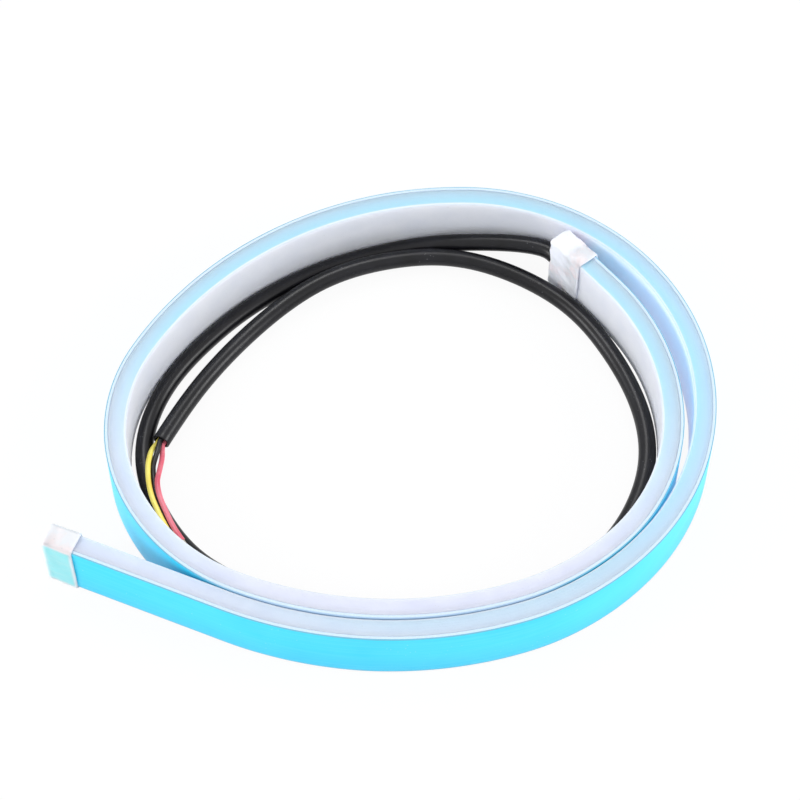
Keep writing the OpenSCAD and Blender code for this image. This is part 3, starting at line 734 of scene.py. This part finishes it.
def cap_silicone(tree, place, uv, onto):
    """Moulded cap: translucent white with the film's blue behind it, a warm patch or two, and painted
    shade on its inside faces.
    """
    grain = use(tree, GRAIN, Vector=place, Scale=900.0)
    dust = use(tree, DUST, Vector=place, Scale=700.0, Amount=0.4)
    cloud = put(tree, "TexNoise", {"Vector": place, "Scale": 210.0, "Detail": 3.0})
    body = blend(tree, grain["Tone"], paint(230, 234, 246), paint(238, 241, 250))
    warm = spread(tree, cloud.outputs["Fac"], 0.52, 0.7, 0.0, 0.7)
    body = blend(tree, warm, body, paint(247, 227, 231))
    colour = blend(tree, mark(tree, "film_glow"), body, paint(150, 243, 255))
    # painted shade: the pocket, chamber and hole are greyer, as shade in the recess
    painted_inside_shade = sum_of(tree, "MULTIPLY", mark(tree, "inside"), 0.5)
    colour = blend(tree, painted_inside_shade, colour, paint(205, 212, 228))
    colour = blend(tree, dust["Specks"], colour, paint(206, 206, 214))
    tree.links.new(colour, onto["Base Color"])
    tree.links.new(spread(tree, grain["Height"], 0, 1, 0.28, 0.45), onto["Roughness"])
    uneven = sum_of(tree, "ADD", grain["Tone"], sum_of(tree, "MULTIPLY", grain["Height"], 0.3))
    raise_by(tree, uneven, 0.0001, onto)


def foam(tree, place, uv, onto):
    """Foam tape: off-white with open cells."""
    cells = put(tree, "TexVoronoi", {"Vector": place, "Scale": 3200.0}, feature="SMOOTH_F1")
    grain = use(tree, GRAIN, Vector=place, Scale=1500.0)
    colour = blend(tree, cells.outputs["Distance"], paint(198, 220, 238), paint(214, 232, 245))
    colour = blend(tree, spread(tree, grain["Tone"], 0, 1, 0.0, 0.3), colour, paint(205, 218, 238))
    tree.links.new(colour, onto["Base Color"])
    tree.links.new(spread(tree, cells.outputs["Distance"], 0, 1, 0.75, 0.95), onto["Roughness"])
    raise_by(tree, cells.outputs["Distance"], 0.00008, onto)


def drawn_skin(dark, pale, inner, dusty):
    """Extruded cable or wire skin: lines along it, satin grain, dust, and a dull cut face."""
    def wire(tree, place, uv, onto):
        """Dark turned towards pale by wide noise and by 0.35 of the lines; their sum with the
        grain sets the gloss, and lines with half the grain the relief."""
        lines = use(tree, LINES, UV=uv, Scale=1.6)
        grain = use(tree, GRAIN, Vector=place, Scale=2200.0)
        dust = use(tree, DUST, Vector=place, Scale=1300.0, Amount=dusty)
        colour = blend(tree, grain["Tone"], dark, pale)
        colour = blend(tree, spread(tree, lines["Lines"], 0.4, 1.0, 0.0, 0.35), colour, pale)
        colour = blend(tree, mark(tree, "cut_face"), colour, inner)
        colour = blend(tree, dust["Specks"], colour, paint(150, 150, 152))
        tree.links.new(colour, onto["Base Color"])
        both = sum_of(tree, "ADD", lines["Lines"], grain["Height"])
        tree.links.new(spread(tree, both, 0, 2, 0.28, 0.4), onto["Roughness"])
        drawn = sum_of(tree, "ADD", lines["Lines"], sum_of(tree, "MULTIPLY", grain["Height"], 0.5))
        raise_by(tree, drawn, 0.000009, onto)
    return wire


def plain_grain(dark, pale, rough, depth, scale=1500.0):
    """Even finish of one stuff: two near tones by wide noise, grain and a little dust."""
    def wire(tree, place, uv, onto):
        """Dark turned towards pale by wide noise, with the grain for gloss and relief."""
        grain = use(tree, GRAIN, Vector=place, Scale=scale)
        dust = use(tree, DUST, Vector=place, Scale=900.0, Amount=0.3)
        colour = blend(tree, grain["Tone"], dark, pale)
        colour = blend(tree, dust["Specks"], colour, paint(170, 168, 162))
        tree.links.new(colour, onto["Base Color"])
        tree.links.new(spread(tree, grain["Height"], 0, 1, *rough), onto["Roughness"])
        raise_by(tree, grain["Height"], depth, onto)
    return wire


def board_skin(tree, place, uv, onto):
    """Flexible board: white solder mask, with the copper ways under it as faint raised bands."""
    grain = use(tree, GRAIN, Vector=place, Scale=1200.0)
    height = put(tree, "SeparateXYZ", {0: place}).outputs["Z"]
    ways = put(tree, "Math", {0: sum_of(tree, "MULTIPLY", height, 1900.0)}, operation="SINE").outputs[0]
    raised = spread(tree, ways, -0.1, 0.25)
    colour = blend(tree, raised, paint(232, 234, 224), paint(240, 241, 234))
    colour = blend(tree, spread(tree, grain["Tone"], 0, 1, 0.0, 0.3), colour, paint(225, 228, 214))
    tree.links.new(colour, onto["Base Color"])
    tree.links.new(spread(tree, grain["Height"], 0, 1, 0.4, 0.55), onto["Roughness"])
    relief = sum_of(tree, "ADD", raised, sum_of(tree, "MULTIPLY", grain["Height"], 0.2))
    raise_by(tree, relief, 0.00004, onto)


# Emission_Strength lights the painted glow where the other turn shades the wall
MILKY = finish("milky_silicone", milky, IOR=1.41, Subsurface_Weight=0.6, Subsurface_Scale=0.005,
               Subsurface_Radius=(1.0, 1.0, 1.1), Emission_Strength=0.45, Specular_IOR_Level=0.35)
FILM = finish("blue_release_film", blue_film, IOR=1.5, Specular_IOR_Level=0.2)
CAP = finish("cap_silicone", cap_silicone, IOR=1.41, Subsurface_Weight=0.5, Subsurface_Scale=0.003,
             Subsurface_Radius=(1.0, 1.0, 1.1))
FOAM = finish("tape_foam", foam, IOR=1.4, Specular_IOR_Level=0.1)
JACKET = finish("black_jacket", drawn_skin(paint(8, 8, 11), paint(20, 20, 25), paint(8, 8, 9), 0.4),
                IOR=1.42, Specular_IOR_Level=0.42)
INSULATION = {
    colour: finish(colour + "_insulation",
                   drawn_skin(paint(*dark), paint(*pale), paint(*cut), dusty), IOR=1.45)
    for colour, dark, pale, cut, dusty in (
        ("yellow", (246, 224, 84), (253, 240, 122), (220, 196, 70), 0.2),
        ("black", (14, 14, 16), (36, 34, 36), (10, 10, 11), 0.3),
        ("red", (220, 84, 104), (240, 132, 146), (176, 46, 66), 0.2),
    )
}
STRAND = finish("tinned_strands", plain_grain(
    paint(196, 190, 176), paint(222, 218, 206), (0.25, 0.4), 0.00002), Metallic=1.0)
BOARD = finish("board_film", board_skin, IOR=1.5)
SEALANT = finish("white_sealant", plain_grain(
    paint(232, 233, 238), paint(243, 243, 246), (0.4, 0.55), 0.00005, 900.0))
BLACK_CHIP = finish("moulded_chip", plain_grain(
    paint(20, 20, 22), paint(38, 38, 41), (0.5, 0.7), 0.00003, 2600.0))
WHITE_CHIP = finish("warm_white_phosphor", plain_grain(
    paint(247, 226, 130), paint(252, 238, 168), (0.25, 0.38), 0.00002))
AMBER_CHIP = finish("amber_phosphor", plain_grain(
    paint(244, 150, 48), paint(250, 176, 78), (0.25, 0.38), 0.00002))
SOLDER = finish("soft_solder", plain_grain(
    paint(178, 180, 184), paint(205, 206, 210), (0.28, 0.45), 0.00004, 1100.0), Metallic=1.0)


def dress(piece, material):
    """Gives a new piece its material, or a CAD node's object its better one in every slot."""
    if not piece.material_slots:
        piece.data.materials.append(material)
    for slot in piece.material_slots:
        slot.material = material


for piece, material in (
    (tube, MILKY), (film, FILM), (tape, FOAM), (blind_cap, CAP), (lead_cap, CAP), (cable, JACKET),
):
    dress(piece, material)
for colour in wires:
    dress(wires[colour], INSULATION[colour])
    dress(tips[colour], STRAND)
for node, material in {
    "circuit_board": BOARD, "white_leds": WHITE_CHIP, "amber_leds": AMBER_CHIP,
    "resistors": BLACK_CHIP, "driver_chips": BLACK_CHIP, "solder_joints": SOLDER,
    "blind_sealant": SEALANT, "lead_sealant": SEALANT,
}.items():
    dress(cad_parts[node], material)


def core_skin(dark, pale):
    """Satin skin of the sleeve and the cores inside the lead cap, between two screen colours."""
    return plain_grain(paint(*dark), paint(*pale), (0.3, 0.46), 0.00002, 2200.0)


dress(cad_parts["lead_sleeve"],
      finish("sleeve_black", core_skin((16, 16, 18), (34, 34, 37)), IOR=1.42))
for colour, dark, pale in (
    ("yellow", (240, 218, 80), (249, 233, 112)), ("black", (18, 18, 20), (40, 40, 43)),
    ("red", (206, 62, 84), (226, 92, 112)),
):
    dress(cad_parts["core_" + colour], finish("core_" + colour + "_skin", core_skin(dark, pale)))


# Floor and light
def seen_directly(tree):
    """1 for rays from the camera and for rays mirrored or passed on by gloss and glass."""
    path = put(tree, "LightPath").outputs
    either = sum_of(tree, "MAXIMUM", path["Is Camera Ray"], path["Is Glossy Ray"])
    return sum_of(tree, "MAXIMUM", either, path["Is Transmission Ray"])


def make_floor():
    """Wide floor just under the part, in metres: nearly white where it is seen directly, and a
    pale matt surface for all other light."""
    half, under = 1.6, -0.0001
    mesh = bpy.data.meshes.new("studio_floor")
    corners = [(-half, -half, under), (half, -half, under), (half, half, under), (-half, half, under)]
    mesh.from_pydata(corners, [], [(0, 1, 2, 3)])
    floor = bpy.data.objects.new("studio_floor", mesh)
    bpy.context.collection.objects.link(floor)
    material = bpy.data.materials.new("pale_floor")
    material.use_nodes = True
    tree = material.node_tree
    shader = tree.nodes["Principled BSDF"]
    shader.inputs["Base Color"].default_value = (0.93, 0.93, 0.935, 1)
    shader.inputs["Roughness"].default_value = 0.85
    shader.inputs["Specular IOR Level"].default_value = 0.1
    white = put(tree, "Emission", {"Color": (1, 1, 1, 1), "Strength": 1.0})
    share = sum_of(tree, "MULTIPLY", seen_directly(tree), 0.93)
    mixed = put(tree, "MixShader", {0: share, 1: shader.outputs[0], 2: white.outputs[0]})
    tree.links.new(mixed.outputs[0], tree.nodes["Material Output"].inputs["Surface"])
    mesh.materials.append(material)


def make_world():
    """Sky: white where it is seen directly, and a soft cool light for all else."""
    world = bpy.data.worlds.new("studio_sky")
    world.use_nodes = True
    tree = world.node_tree
    soft = tree.nodes["Background"]
    soft.inputs["Color"].default_value = (0.975, 0.99, 1, 1)
    soft.inputs["Strength"].default_value = 0.79
    white = put(tree, "Background", {"Color": (1, 1, 1, 1), "Strength": 1.0})
    mixed = put(tree, "MixShader", {0: seen_directly(tree), 1: soft.outputs[0], 2: white.outputs[0]})
    tree.links.new(mixed.outputs[0], tree.nodes["World Output"].inputs["Surface"])
    bpy.context.scene.world = world


def make_lamp(name, place, power, size, gloss_only=False):
    """Square lamp that faces the part's middle. With gloss_only it shows in highlights alone."""
    lamp = bpy.data.lights.new(name, "AREA")
    lamp.energy, lamp.size = power, size
    holder = bpy.data.objects.new(name, lamp)
    holder.location = Vector(place)
    towards = Vector((0, 0, 0.008)) - holder.location
    holder.rotation_euler = towards.to_track_quat("-Z", "Y").to_euler()
    holder.visible_diffuse = not gloss_only
    bpy.context.collection.objects.link(holder)


make_floor()
make_world()
make_lamp("left_softbox", (-0.7, -0.15, 0.4), 2.9, 0.3)
make_lamp("right_softbox", (0.7, -0.1, 0.4), 3.1, 0.3)
make_lamp("top_softbox", (-0.1, 0.35, 0.85), 0.4, 0.14)
make_lamp("streak_softbox", (-0.1, 0.35, 0.85), 2.4, 0.2, gloss_only=True)
